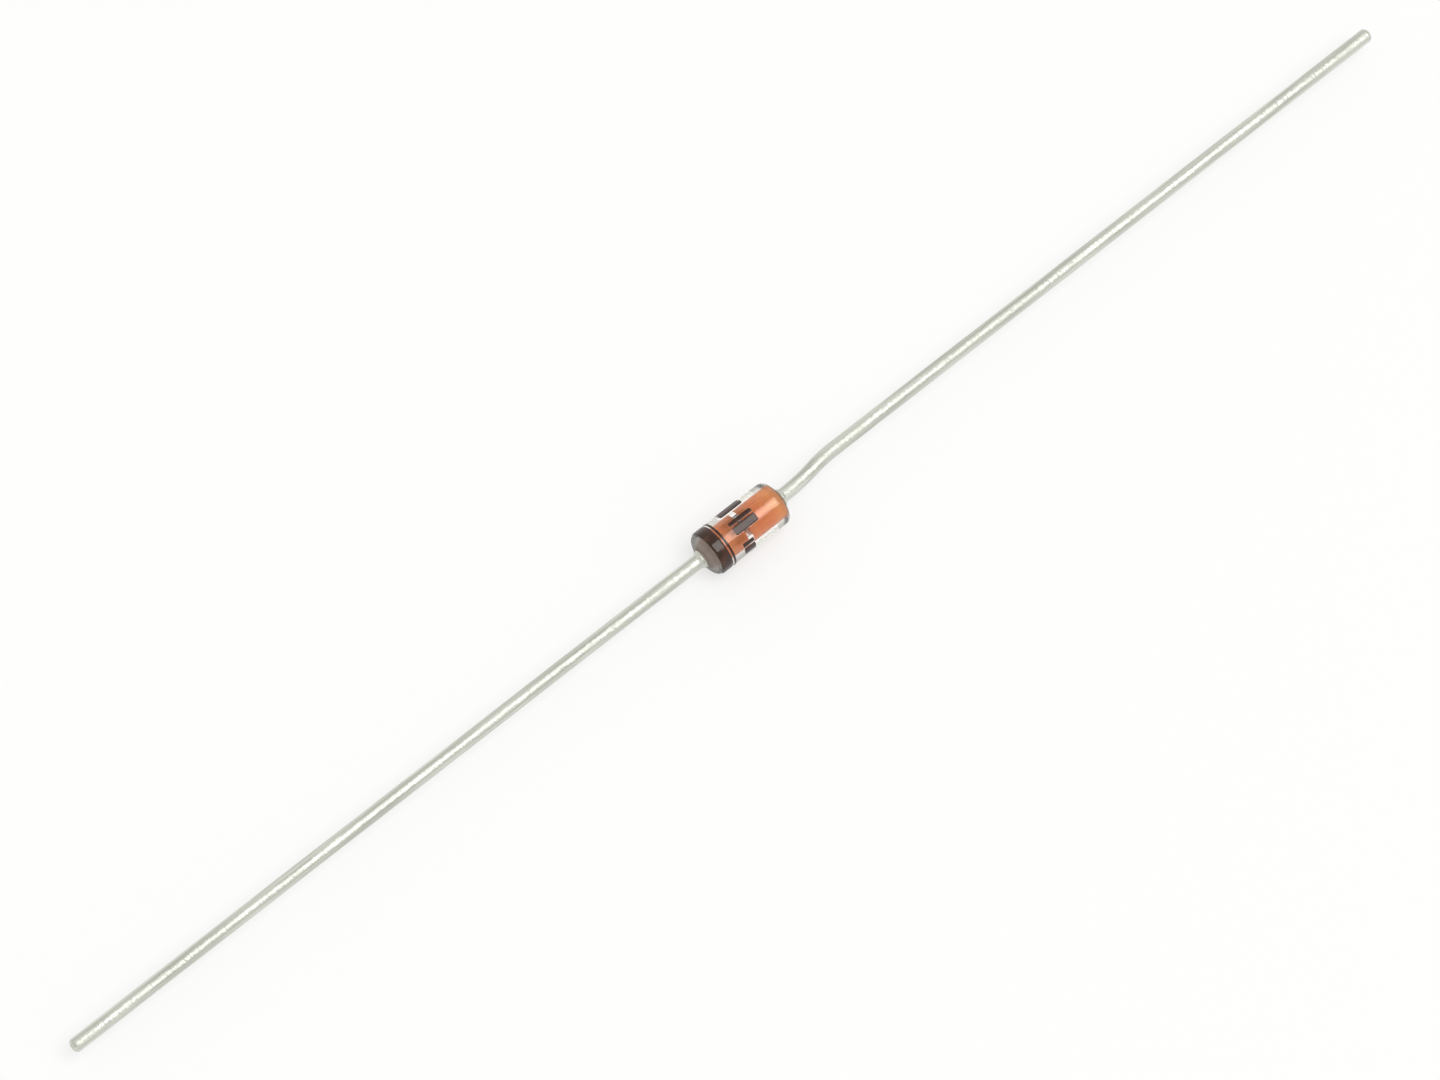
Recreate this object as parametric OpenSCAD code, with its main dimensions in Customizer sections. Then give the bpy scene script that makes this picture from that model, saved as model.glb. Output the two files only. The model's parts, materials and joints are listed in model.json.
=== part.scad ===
// Glass zener diode with axial leads.
// It lies along X on the plane z = 0: the banded cathode end points to -X and the anode end to +X.
// The origin is on that plane, below the middle of the glass. All sizes are in millimetres.

/* [Glass sleeve] */
// Diameter of the glass
glass_d = 1.8; // [1.5:0.02:2.4]
// Length of the glass from mouth to mouth
glass_length = 3.7; // [3:0.05:5]
// Radius of the shallow dome that each melted end takes
dome_r = 1.6; // [1.3:0.05:3]
// Radius of the shoulder between a dome and the side
shoulder_r = 0.28; // [0.15:0.01:0.4]

/* [Studs and chip] */
// Diameter of each copper-clad stud, and of the bore of the glass that is melted onto it
stud_d = 0.86; // [0.7:0.01:1]
// How far each stud stands out of the mouth of the glass
stud_proud = 0.03; // [0.01:0.01:0.1]
// Side of the square silicon chip
die_side = 0.4; // [0.3:0.01:0.45]
// Thickness of the silicon chip
die_thickness = 0.15; // [0.1:0.01:0.3]
// Diameter of the silver bump on the chip
bump_d = 0.22; // [0.1:0.01:0.28]
// Height of the silver bump
bump_height = 0.05; // [0.02:0.01:0.1]

/* [Leads] */
// Diameter of the tinned lead wire
lead_d = 0.55; // [0.4:0.01:0.58]
// Length of the whole diode from lead tip to lead tip
overall_length = 62.5; // [50:0.5:70]
// Rounding of the edge at each lead tip
tip_round = 0.18; // [0.02:0.01:0.19]
// Diameter of the bead where a lead is welded to its stud
weld_d = 0.67; // [0.6:0.01:0.7]
// Thickness of that bead
weld_length = 0.12; // [0.06:0.01:0.2]

/* [Set-off of the anode lead] */
// Angle that the lead has turned aside where its two bends meet
set_off_angle = 10; // [2:0.5:15]
// Radius of the wide bend next to the glass
near_bend_r = 10; // [3:0.5:15]
// Radius of the tighter bend that turns the lead straight again
far_bend_r = 5; // [1:0.5:10]

/* [Cathode band] */
// Thickness of the ink on the glass
ink_thickness = 0.02; // [0.01:0.005:0.04]
// Distance from the mouth of the glass to the band
band_inset = 0.27; // [0.15:0.01:0.6]
// Width of the band
band_width = 0.47; // [0.2:0.01:0.6]
// Bare glass between the band and the thin line beside it
band_gap = 0.06; // [0.03:0.01:0.1]
// Width of that thin line
band_line = 0.09; // [0.03:0.01:0.12]

/* [Printed mark] */
// Length along the glass of each row of the mark, from the back of the glass to its front
mark_rows = [1.04, 1.04, 0.5]; // [0.3:0.02:1.4]
// Angle from the back of the glass over its top to the middle row
mark_turn = 82; // [60:1:120]
// Angle round the glass from one row to the next
mark_pitch = 62; // [55:1:90]
// Width round the glass of the narrow bar of a row
narrow_bar = 0.17; // [0.08:0.01:0.25]
// Width round the glass of the broad bar below it
broad_bar = 0.34; // [0.2:0.01:0.45]
// Bare glass between the two bars
mark_gap = 0.06; // [0.03:0.01:0.1]

/* [Hidden] */
$fn = 96;

glass_r = glass_d / 2;
stud_r = stud_d / 2;
lead_r = lead_d / 2;
weld_r = weld_d / 2;
axis_height = glass_r + ink_thickness;

mouth = glass_length / 2;
stud_end = mouth + stud_proud;
weld_end = stud_end + weld_length;
tip = overall_length / 2;

// The chip and its bump fill the gap between the studs, which is centred on the glass
stud_gap = die_thickness + bump_height;
stud_length = stud_end - stud_gap / 2;

// Centre of a dome on the axis, and of the shoulder that touches both the dome and the side
dome_centre = mouth - sqrt(dome_r ^ 2 - stud_r ^ 2);
shoulder_ring = glass_r - shoulder_r;
shoulder_centre = dome_centre + sqrt((dome_r - shoulder_r) ^ 2 - shoulder_ring ^ 2);

// Where the anode lead runs straight again after its bends, in the horizontal plane through the axis
both_bends_r = near_bend_r + far_bend_r;
set_off = [weld_end + both_bends_r * sin(set_off_angle), both_bends_r * (1 - cos(set_off_angle))];

band_start = band_inset - mouth;
line_start = band_start + band_width + band_gap;

// The longest row of the mark is centred on the glass, and every row starts with it
mark_start = -max(mark_rows) / 2;

// Angle that a width round the glass takes
function around(width) = width / glass_r * 180 / PI;

// Lays what is drawn round the z axis along X at the diode's height, with x turned to Y and y to Z
module along_axis() {
    translate([0, 0, axis_height]) rotate([90, 0, 90]) children();
}

// Half section of the glass with no bore, grown outwards by a skin
module glass_section(skin) {
    dome_edge = (dome_r + skin) * shoulder_ring / (dome_r - shoulder_r);
    translate([0, -shoulder_centre]) square([glass_r + skin, 2 * shoulder_centre]);
    for (end = [0, 1]) mirror([0, end]) {
        translate([shoulder_ring, shoulder_centre]) circle(shoulder_r + skin);
        intersection() {
            translate([0, dome_centre]) circle(dome_r + skin);
            square([dome_edge, dome_centre + dome_r + skin]);
        }
    }
}

// Ring of ink that follows the side and the shoulder of the glass
module ink_ring(start, width) {
    rotate_extrude() intersection() {
        difference() {
            glass_section(ink_thickness);
            glass_section(0);
        }
        translate([shoulder_ring, start]) square([glass_r, width]);
    }
}

// Patch of ink on the side of the glass
module ink_patch(start, length, angle, width) {
    rotate([0, 0, angle]) rotate_extrude(angle = around(width))
        translate([glass_r, start]) square([ink_thickness, length]);
}

// One row of the mark: a narrow bar with a broad one below it
module mark_row(length, angle) {
    ink_patch(mark_start, length, angle, narrow_bar);
    ink_patch(mark_start, length, angle + around(narrow_bar + mark_gap), broad_bar);
}

// Straight wire from the origin to a tip with a rounded edge
module wire(length) {
    rotate_extrude() {
        square([lead_r, length - tip_round]);
        square([lead_r - tip_round, length]);
        intersection() {
            translate([lead_r - tip_round, length - tip_round]) circle(tip_round);
            square([lead_r, length]);
        }
    }
}

// Disc with a round rim, where a lead is welded on
module weld_bead() {
    rim = weld_length / 2;
    rotate_extrude() {
        square([weld_r - rim, weld_length]);
        translate([weld_r - rim, rim]) circle(rim);
    }
}

// Moves to a point in two steps, tenths first, so that the stretches of a bent wire meet to the last digit
module place(point) {
    tenths = [for (c = point) round(c * 10) / 10];
    translate(tenths) translate(point - tenths) children();
}

// Bend of the wire in the horizontal plane, from a start angle round the bend's centre
module bend(radius, start_angle) {
    rotate([0, 0, start_angle]) rotate_extrude(angle = set_off_angle) translate([radius, 0]) circle(lead_r);
}

module stud() {
    translate([0, 0, stud_gap / 2]) cylinder(r = stud_r, h = stud_length);
}

module glass_sleeve() {
    color("lightcyan", 0.4) along_axis() rotate_extrude() difference() {
        glass_section(0);
        translate([0, -tip]) square([stud_r, overall_length]);
    }
}

module cathode_stud() {
    color("chocolate") along_axis() mirror([0, 0, 1]) stud();
}

module anode_stud() {
    color("chocolate") along_axis() stud();
}

module silicon_die() {
    color("dimgray") translate([-stud_gap / 2, -die_side / 2, axis_height - die_side / 2])
        cube([die_thickness, die_side, die_side]);
}

module contact_bump() {
    color("white") along_axis() translate([0, 0, die_thickness - stud_gap / 2])
        cylinder(d = bump_d, h = bump_height);
}

module cathode_lead() {
    color("silver") along_axis() mirror([0, 0, 1]) translate([0, 0, stud_end]) {
        weld_bead();
        wire(tip - stud_end);
    }
}

module anode_lead() {
    color("silver") {
        along_axis() translate([0, 0, stud_end]) {
            weld_bead();
            cylinder(r = lead_r, h = weld_length);
        }
        translate([0, 0, axis_height]) {
            translate([weld_end, near_bend_r]) bend(near_bend_r, -90);
            place(set_off) {
                translate([0, -far_bend_r]) bend(far_bend_r, 90);
                rotate([0, 90, 0]) wire(tip - set_off.x);
            }
        }
    }
}

module cathode_band() {
    color("black") along_axis() {
        ink_ring(band_start, band_width);
        ink_ring(line_start, band_line);
    }
}

module type_mark() {
    color("black") along_axis() for (i = [0 : len(mark_rows) - 1])
        mark_row(mark_rows[i], mark_turn + (i - 1) * mark_pitch);
}

glass_sleeve();
cathode_stud();
anode_stud();
silicon_die();
contact_bump();
cathode_lead();
anode_lead();
cathode_band();
type_mark();
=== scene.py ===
# %% [markdown]
# # A glass zener diode
# The real part is a speck of silicon held between two copper-clad studs. A clear glass sleeve is melted
# round the studs, a tinned wire is welded to each of them, and ink on the glass marks the cathode end. The
# CAD model already has every size, so the lesson starts by loading it as a fixed frame. Each piece below is
# a finer copy of one CAD node, with the surface that the real one has.

# %% Load the frame
import json
import math

import bmesh
import bpy
from mathutils import Matrix, Vector, noise


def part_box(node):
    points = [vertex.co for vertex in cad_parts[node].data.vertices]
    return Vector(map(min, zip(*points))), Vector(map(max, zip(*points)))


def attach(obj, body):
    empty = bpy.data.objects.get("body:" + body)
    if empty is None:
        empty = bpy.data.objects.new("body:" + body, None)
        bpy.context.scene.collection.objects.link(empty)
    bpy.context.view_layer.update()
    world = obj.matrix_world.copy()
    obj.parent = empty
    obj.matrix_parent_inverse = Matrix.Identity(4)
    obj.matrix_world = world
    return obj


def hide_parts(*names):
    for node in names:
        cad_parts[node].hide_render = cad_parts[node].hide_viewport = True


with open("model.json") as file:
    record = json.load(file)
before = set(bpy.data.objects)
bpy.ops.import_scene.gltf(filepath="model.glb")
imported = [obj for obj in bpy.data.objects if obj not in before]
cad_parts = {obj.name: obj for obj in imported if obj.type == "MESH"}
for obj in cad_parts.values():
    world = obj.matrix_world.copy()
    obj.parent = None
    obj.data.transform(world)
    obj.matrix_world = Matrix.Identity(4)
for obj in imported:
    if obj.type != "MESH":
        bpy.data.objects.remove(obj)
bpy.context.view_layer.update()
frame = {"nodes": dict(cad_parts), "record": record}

print("loaded", len(frame["nodes"]), "CAD nodes")

# %% [markdown]
# ## Sizes
# The frame is in metres, and a drawing of a part this small is in millimetres, so MM turns one into the
# other. What the CAD model can tell is measured from it: the reach of a node's vertices from the diode's
# axis gives a radius, and its box gives its ends. That is safer than typing the numbers again, because a
# change in the CAD model then follows here.

# %% Measure the CAD model
MM = 0.001
LEADS = {mount["name"]: mount for mount in frame["record"]["mounts"]}
AXIS_Z = LEADS["cathode_lead"]["pos_m"][2]


def reach(node):
    """Farthest that a CAD node reaches from the diode's axis."""
    return max(math.hypot(v.co.y, v.co.z - AXIS_Z) for v in frame["nodes"][node].data.vertices)


def in_mm(lengths):
    """Lengths in millimetres, rounded for printing."""
    return [round(length / MM, 3) for length in lengths]


GLASS_R = reach("glass_sleeve")
STUD_R = reach("cathode_stud")
BEAD_R = reach("cathode_lead")
INK_THICKNESS = reach("cathode_band") - GLASS_R
WIRE_R = LEADS["cathode_lead"]["dims"]["r_mm"] * MM
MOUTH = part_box("glass_sleeve")[1].x
STUD_INNER, STUD_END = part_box("anode_stud")[0].x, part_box("anode_stud")[1].x
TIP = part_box("anode_lead")[1].x
print("radii in mm of glass, stud, bead and wire:", in_mm((GLASS_R, STUD_R, BEAD_R, WIRE_R)))

# %% [markdown]
# ## The camera
# The diode lies on a table and is seen from steeply above, in front of its banded end. The lens is long, so
# the near lead looks hardly thicker than the far one. A camera looks along its own -Z, so its +Z is turned
# to point from the target back to the lens, with Y kept as near upright as it can be.

# %% Set the camera
VIEW_AZIMUTH, VIEW_ELEVATION = math.radians(-40.6), math.radians(65)
VIEW_DISTANCE = 308.2 * MM
VIEW_TARGET = Vector((-0.867, 0.13, 0.93)) * MM
LENS = 211.3  # Blender takes the focal length in millimetres
CLIP_START = 10 * MM

level = math.cos(VIEW_ELEVATION)
back = Vector((math.sin(VIEW_AZIMUTH) * level, -math.cos(VIEW_AZIMUTH) * level, math.sin(VIEW_ELEVATION)))
camera = bpy.data.objects.new("camera", bpy.data.cameras.new("camera"))
camera.data.lens = LENS
camera.data.clip_start = CLIP_START
camera.location = VIEW_TARGET + back * VIEW_DISTANCE
camera.rotation_euler = back.to_track_quat("Z", "Y").to_euler()
bpy.context.collection.objects.link(camera)
bpy.context.scene.camera = camera
bpy.context.scene.view_settings.view_transform = "Standard"
print("camera at", in_mm(camera.location), "mm")

# %% [markdown]
# ## Nodes and colours
# Materials, the world and Geometry Nodes are all trees of nodes, so one helper is enough for them. It adds a
# node, gives it its settings, and fills its sockets: a socket of another node is linked, and anything else
# is a fixed value. Sockets are found by identifier, because a Math or Mix node has several with the same
# name. Colours are written as the sRGB hex values that a colour picker shows, and turned to the linear ones
# that light adds up in.

# %% Helpers for nodes and colours
MIXED_COLOUR = 2  # a Mix node's outputs are a number, a vector and then a colour


def add_node(tree, kind, inputs=None, **settings):
    """Adds a node to a tree with its settings and its linked or fixed inputs, and returns it."""
    node = tree.nodes.new(kind)
    for name, value in settings.items():
        setattr(node, name, value)
    sockets = {socket.identifier: socket for socket in node.inputs}
    for name, value in (inputs or {}).items():
        if isinstance(value, bpy.types.NodeSocket):
            tree.links.new(value, sockets[name])
        else:
            sockets[name].default_value = value
    return node


def colour(hex_code):
    """Linear colour of an sRGB hex value."""
    channels = [int(hex_code[i:i + 2], 16) / 255 for i in (1, 3, 5)]
    linear = [c / 12.92 if c <= 0.04045 else ((c + 0.055) / 1.055) ** 2.4 for c in channels]
    return (*linear, 1.0)


def start_material(name):
    """A material with an empty tree, and the Object coordinates that its patterns read."""
    material = bpy.data.materials.new(name)
    material.use_nodes = True
    material.node_tree.nodes.clear()
    place = add_node(material.node_tree, "ShaderNodeTexCoord").outputs["Object"]
    return material, material.node_tree, place


print("mid grey is", round(colour("#808080")[0], 3), "in linear light")

# %% [markdown]
# ## The floor
# The diode lies on white. A stronger lamp would whiten any floor, but it would bleach the diode too. So
# about a third of the white is a plain matt surface, which takes the shadow, and the rest is a glow that
# only the camera, mirrors and glass see. It puts no more light on the diode.

# %% Lay the floor
FLOOR_REACH = 3.0
FLOOR_GLOW = 0.63

floor_corners = [(x * FLOOR_REACH, y * FLOOR_REACH, 0) for x, y in ((-1, -1), (1, -1), (1, 1), (-1, 1))]
floor_mesh = bpy.data.meshes.new("white_floor")
floor_mesh.from_pydata(floor_corners, [], [(0, 1, 2, 3)])
floor = bpy.data.objects.new("white_floor", floor_mesh)
bpy.context.collection.objects.link(floor)

paper, tree, _ = start_material("matt_white_paper")
rays = add_node(tree, "ShaderNodeLightPath").outputs
seen = add_node(tree, "ShaderNodeMath", {
    "Value": rays["Is Camera Ray"], "Value_001": rays["Is Glossy Ray"]}, operation="MAXIMUM").outputs[0]
seen = add_node(tree, "ShaderNodeMath", {
    "Value": seen, "Value_001": rays["Is Transmission Ray"]}, operation="MAXIMUM").outputs[0]
glow = add_node(tree, "ShaderNodeMath", {
    "Value": seen, "Value_001": FLOOR_GLOW}, operation="MULTIPLY").outputs[0]
shader = add_node(tree, "ShaderNodeBsdfPrincipled", {
    "Base Color": colour("#A0A0A0"), "Roughness": 0.9, "Specular IOR Level": 0.0,
    "Emission Color": colour("#FFFFFF"), "Emission Strength": glow})
add_node(tree, "ShaderNodeOutputMaterial", {"Surface": shader.outputs["BSDF"]})
floor_mesh.materials.append(paper)
print("floor of", 2 * FLOOR_REACH, "m")

# %% [markdown]
# ## The light
# One soft box hangs overhead in a pale room. It makes the bright stripe along the glass and the wires, and
# the room fills in the sides. The room is dimmer towards its ceiling, which leaves round things a darker
# flank beside the stripe. Together they give a level at which a colour looks as it is written. The tilt of
# the room's light is a dot product with the direction, because that needs a single node.

# %% Hang the soft box and light the room
SOFTBOX_TOWARDS = Vector((0.24, -0.33, 0.91)).normalized()
SOFTBOX_DISTANCE = 1.0
SOFTBOX_LENGTH, SOFTBOX_WIDTH = 0.58, 0.73
SOFTBOX_RADIANCE = 3.1
ROOM_LEVEL = 0.85
ROOM_TILT = (0.0, 0.08, -0.22)

softbox = bpy.data.objects.new("softbox", bpy.data.lights.new("softbox", "AREA"))
softbox.data.shape = "RECTANGLE"
softbox.data.size, softbox.data.size_y = SOFTBOX_LENGTH, SOFTBOX_WIDTH
softbox.data.energy = SOFTBOX_RADIANCE * math.pi * SOFTBOX_LENGTH * SOFTBOX_WIDTH
softbox.location = SOFTBOX_TOWARDS * SOFTBOX_DISTANCE
across = SOFTBOX_TOWARDS.cross(Vector((1, 0, 0))).normalized()
along = across.cross(SOFTBOX_TOWARDS)
softbox.rotation_euler = Matrix((along, across, SOFTBOX_TOWARDS)).transposed().to_euler()
bpy.context.collection.objects.link(softbox)

world = bpy.data.worlds.new("pale_room")
bpy.context.scene.world = world
world.use_nodes = True
tree = world.node_tree
tree.nodes.clear()
direction = add_node(tree, "ShaderNodeTexCoord").outputs["Generated"]
tilt = add_node(tree, "ShaderNodeVectorMath", {
    "Vector": direction, "Vector_001": ROOM_TILT}, operation="DOT_PRODUCT").outputs["Value"]
strength = add_node(tree, "ShaderNodeMath", {
    "Value": tilt, "Value_001": ROOM_LEVEL}, operation="ADD").outputs[0]
room = add_node(tree, "ShaderNodeBackground", {"Color": colour("#FFFEFA"), "Strength": strength}).outputs[0]
add_node(tree, "ShaderNodeOutputWorld", {"Surface": room})
print("soft box of", SOFTBOX_LENGTH, "by", SOFTBOX_WIDTH, "m at", round(softbox.data.energy, 2), "W")

# %% [markdown]
# ## Tin
# The leads are drawn wire that was dipped in tin after the glass was sealed. Tin is a soft, warm-grey metal
# with a satin gloss. Drawing leaves long faint streaks along the wire, and the tin freezes in fine ripples
# across it, so that a highlight breaks into short dashes. Both are noise: stretched along X, the way the
# leads run, for the streaks, and squeezed along X for the ripples. The ripples are drawn a little coarser
# than the real ones, or they would not show. The lower lumps of the tin are part of the mesh, further down.
# A noise wavers about a half, so a Map Range node stretches the middle of its range to the tones or the
# gloss that are wanted.

# %% Tin, dipped over drawn wire
def dipped_tin():
    """Warm-grey satin metal with streaks along the wire, ripples across it and cloudy patches of gloss."""
    material, tree, place = start_material("tin_dipped_over_drawn_wire")
    streak_length, streak_width, streak_depth = 4.0 * MM, 0.11 * MM, 0.006 * MM
    ripple_length, ripple_width, ripple_depth = 0.14 * MM, 0.4 * MM, 0.04 * MM
    cloud_size, smoothest, roughest = 0.7 * MM, 0.42, 0.52
    along = add_node(tree, "ShaderNodeMapping", {
        "Vector": place, "Scale": (1 / streak_length, 1 / streak_width, 1 / streak_width)}).outputs[0]
    streaks = add_node(tree, "ShaderNodeTexNoise", {
        "Vector": along, "Scale": 1.0, "Detail": 3.0}).outputs[0]
    tone = add_node(tree, "ShaderNodeMapRange", {
        "Value": streaks, "From Min": 0.35, "From Max": 0.65}).outputs[0]
    base = add_node(tree, "ShaderNodeMix", {
        "Factor_Float": tone, "A_Color": colour("#C4C6BD"), "B_Color": colour("#E2E4DC")}, data_type="RGBA")
    clouds = add_node(tree, "ShaderNodeTexNoise", {"Vector": place, "Scale": 1 / cloud_size}).outputs[0]
    gloss = add_node(tree, "ShaderNodeMapRange", {
        "Value": clouds, "From Min": 0.35, "From Max": 0.65,
        "To Min": smoothest, "To Max": roughest}).outputs[0]
    bump = add_node(tree, "ShaderNodeBump", {
        "Height": streaks, "Strength": 0.6, "Distance": streak_depth}).outputs[0]
    across = add_node(tree, "ShaderNodeMapping", {
        "Vector": place, "Scale": (1 / ripple_length, 1 / ripple_width, 1 / ripple_width)}).outputs[0]
    ripples = add_node(tree, "ShaderNodeTexNoise", {
        "Vector": across, "Scale": 1.0, "Detail": 2.0}).outputs[0]
    bump = add_node(tree, "ShaderNodeBump", {
        "Height": ripples, "Strength": 1.0, "Distance": ripple_depth, "Normal": bump}).outputs[0]
    shader = add_node(tree, "ShaderNodeBsdfPrincipled", {
        "Base Color": base.outputs[MIXED_COLOUR], "Metallic": 1.0, "Roughness": gloss, "Normal": bump})
    add_node(tree, "ShaderNodeOutputMaterial", {"Surface": shader.outputs["BSDF"]})
    return material


TIN = dipped_tin()
print("made", TIN.name)

# %% [markdown]
# ## Oxidised copper
# Copper-clad studs are oxidised before the glass is melted on, because glass wets the oxide. The oxide is a
# mineral more than a metal, and shows as a satin orange skin, deeper in patches, with fine lines from
# drawing. Heat has turned it golden at the plain end, so the colour also shifts along X. At the banded end
# the stud is painted a pale grey. That is painted light: it lifts the shade that the band casts on the stud
# and stands in for the grey reflection of the glass end. Glass keeps much of the light that a stud sends
# back and lights it once more, which deepens a colour, so these are written paler than they look. The bare
# ends that stand out of the glass have only a dull grey-brown scale.

# %% Copper, drawn and oxidised
def oxidised_copper():
    """Patchy orange satin skin with fine lines, golden at one end, painted pale grey at the other as painted
    light, dull outside.
    """
    material, tree, place = start_material("copper_drawn_and_oxidised")
    line_length, line_width, line_depth = 2.0 * MM, 0.05 * MM, 0.004 * MM
    patch_size, smoothest, roughest = 0.4 * MM, 0.26, 0.38
    patches = add_node(tree, "ShaderNodeTexNoise", {
        "Vector": place, "Scale": 1 / patch_size, "Detail": 3.0}).outputs[0]
    depth = add_node(tree, "ShaderNodeMapRange", {
        "Value": patches, "From Min": 0.3, "From Max": 0.7}).outputs[0]
    skin = add_node(tree, "ShaderNodeMix", {
        "Factor_Float": depth, "A_Color": colour("#FA8038"), "B_Color": colour("#FF964E")},
        data_type="RGBA").outputs[MIXED_COLOUR]

    # Each change has the place it follows, where it begins, where it is full, its share and its shade
    x = add_node(tree, "ShaderNodeSeparateXYZ", {"Vector": place}).outputs["X"]
    out = add_node(tree, "ShaderNodeMath", {"Value": x}, operation="ABSOLUTE").outputs[0]
    golden = (x, 1.0 * MM, MOUTH, 0.6, "#F4AE62")
    # The pale grey under the band is painted light: it lifts the band's shade and stands in for the end's
    # grey reflection
    painted_pale_under_band = (x, -1.13 * MM, -1.28 * MM, 0.93, "#F0E2D8")
    bare = (out, MOUTH, MOUTH + 0.005 * MM, 1.0, "#8C7D72")
    for follows, begins, full, share, shade in (golden, painted_pale_under_band, bare):
        amount = add_node(tree, "ShaderNodeMapRange", {
            "Value": follows, "From Min": begins, "From Max": full,
            "To Min": 0.0, "To Max": share}).outputs[0]
        skin = add_node(tree, "ShaderNodeMix", {
            "Factor_Float": amount, "A_Color": skin, "B_Color": colour(shade)},
            data_type="RGBA").outputs[MIXED_COLOUR]

    along = add_node(tree, "ShaderNodeMapping", {
        "Vector": place, "Scale": (1 / line_length, 1 / line_width, 1 / line_width)}).outputs[0]
    lines = add_node(tree, "ShaderNodeTexNoise", {"Vector": along, "Scale": 1.0, "Detail": 2.0}).outputs[0]
    gloss = add_node(tree, "ShaderNodeMapRange", {
        "Value": lines, "From Min": 0.3, "From Max": 0.7,
        "To Min": smoothest, "To Max": roughest}).outputs[0]
    bump = add_node(tree, "ShaderNodeBump", {
        "Height": lines, "Strength": 0.4, "Distance": line_depth}).outputs[0]
    shader = add_node(tree, "ShaderNodeBsdfPrincipled", {
        "Base Color": skin, "Metallic": 0.2, "Roughness": gloss, "IOR": 1.65, "Normal": bump})
    add_node(tree, "ShaderNodeOutputMaterial", {"Surface": shader.outputs["BSDF"]})
    return material


COPPER = oxidised_copper()
print("made", COPPER.name)

# %% [markdown]
# ## Silicon and silver
# The chip was sawn out of a polished wafer, so it is a dark grey mirror that the saw has scuffed. The bump
# was plated onto it: pale silver with a fine grain. Both are small and sit behind glass, so one noise each
# is enough for tone, gloss and grain, and one function makes both.

# %% Sawn silicon and plated silver
def small_metal(name, dark, light, smoothest, roughest, grain_size):
    """Metal with a fine grain that varies both its tone and its gloss."""
    material, tree, place = start_material(name)
    grain_depth = 0.002 * MM
    grain = add_node(tree, "ShaderNodeTexNoise", {
        "Vector": place, "Scale": 1 / grain_size, "Detail": 2.0}).outputs[0]
    tone = add_node(tree, "ShaderNodeMix", {
        "Factor_Float": grain, "A_Color": colour(dark), "B_Color": colour(light)}, data_type="RGBA")
    gloss = add_node(tree, "ShaderNodeMapRange", {
        "Value": grain, "From Min": 0.3, "From Max": 0.7,
        "To Min": smoothest, "To Max": roughest}).outputs[0]
    bump = add_node(tree, "ShaderNodeBump", {
        "Height": grain, "Strength": 0.3, "Distance": grain_depth}).outputs[0]
    shader = add_node(tree, "ShaderNodeBsdfPrincipled", {
        "Base Color": tone.outputs[MIXED_COLOUR], "Metallic": 1.0, "Roughness": gloss, "Normal": bump})
    add_node(tree, "ShaderNodeOutputMaterial", {"Surface": shader.outputs["BSDF"]})
    return material


SILICON = small_metal("silicon_sawn_from_wafer", dark="#4A4D52", light="#72757B",
                      smoothest=0.12, roughest=0.3, grain_size=0.05 * MM)
SILVER = small_metal("silver_plated_bump", dark="#CFCBC0", light="#F2EFE6",
                     smoothest=0.25, roughest=0.4, grain_size=0.03 * MM)
print("made", SILICON.name, "and", SILVER.name)

# %% [markdown]
# ## Ink
# The band and the mark are a dark ink that was rolled onto the glass and baked. Baked ink is glossy, so it
# is nearly black away from the light and grey where the soft box crosses it. Where the coat is thin it turns
# brown. The grain of the print is drawn a little coarser than the real one, or it would not show at this
# size.

# %% Ink, rolled on and baked
def baked_ink():
    """Glossy brown-black coat with an uneven thickness."""
    material, tree, place = start_material("ink_rolled_on_and_baked")
    coat_size, smoothest, roughest = 0.3 * MM, 0.1, 0.2
    grain_size, grain_depth = 0.05 * MM, 0.002 * MM
    coat = add_node(tree, "ShaderNodeTexNoise", {
        "Vector": place, "Scale": 1 / coat_size, "Detail": 3.0}).outputs[0]
    thin = add_node(tree, "ShaderNodeMapRange", {
        "Value": coat, "From Min": 0.45, "From Max": 0.75}).outputs[0]
    base = add_node(tree, "ShaderNodeMix", {
        "Factor_Float": thin, "A_Color": colour("#33190C"), "B_Color": colour("#512F1F")}, data_type="RGBA")
    gloss = add_node(tree, "ShaderNodeMapRange", {
        "Value": coat, "From Min": 0.3, "From Max": 0.7,
        "To Min": smoothest, "To Max": roughest}).outputs[0]
    grain = add_node(tree, "ShaderNodeTexNoise", {"Vector": place, "Scale": 1 / grain_size}).outputs[0]
    bump = add_node(tree, "ShaderNodeBump", {
        "Height": grain, "Strength": 0.3, "Distance": grain_depth}).outputs[0]
    shader = add_node(tree, "ShaderNodeBsdfPrincipled", {
        "Base Color": base.outputs[MIXED_COLOUR], "Roughness": gloss, "IOR": 1.5, "Normal": bump})
    add_node(tree, "ShaderNodeOutputMaterial", {"Surface": shader.outputs["BSDF"]})
    return material


INK = baked_ink()
print("made", INK.name)
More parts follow.
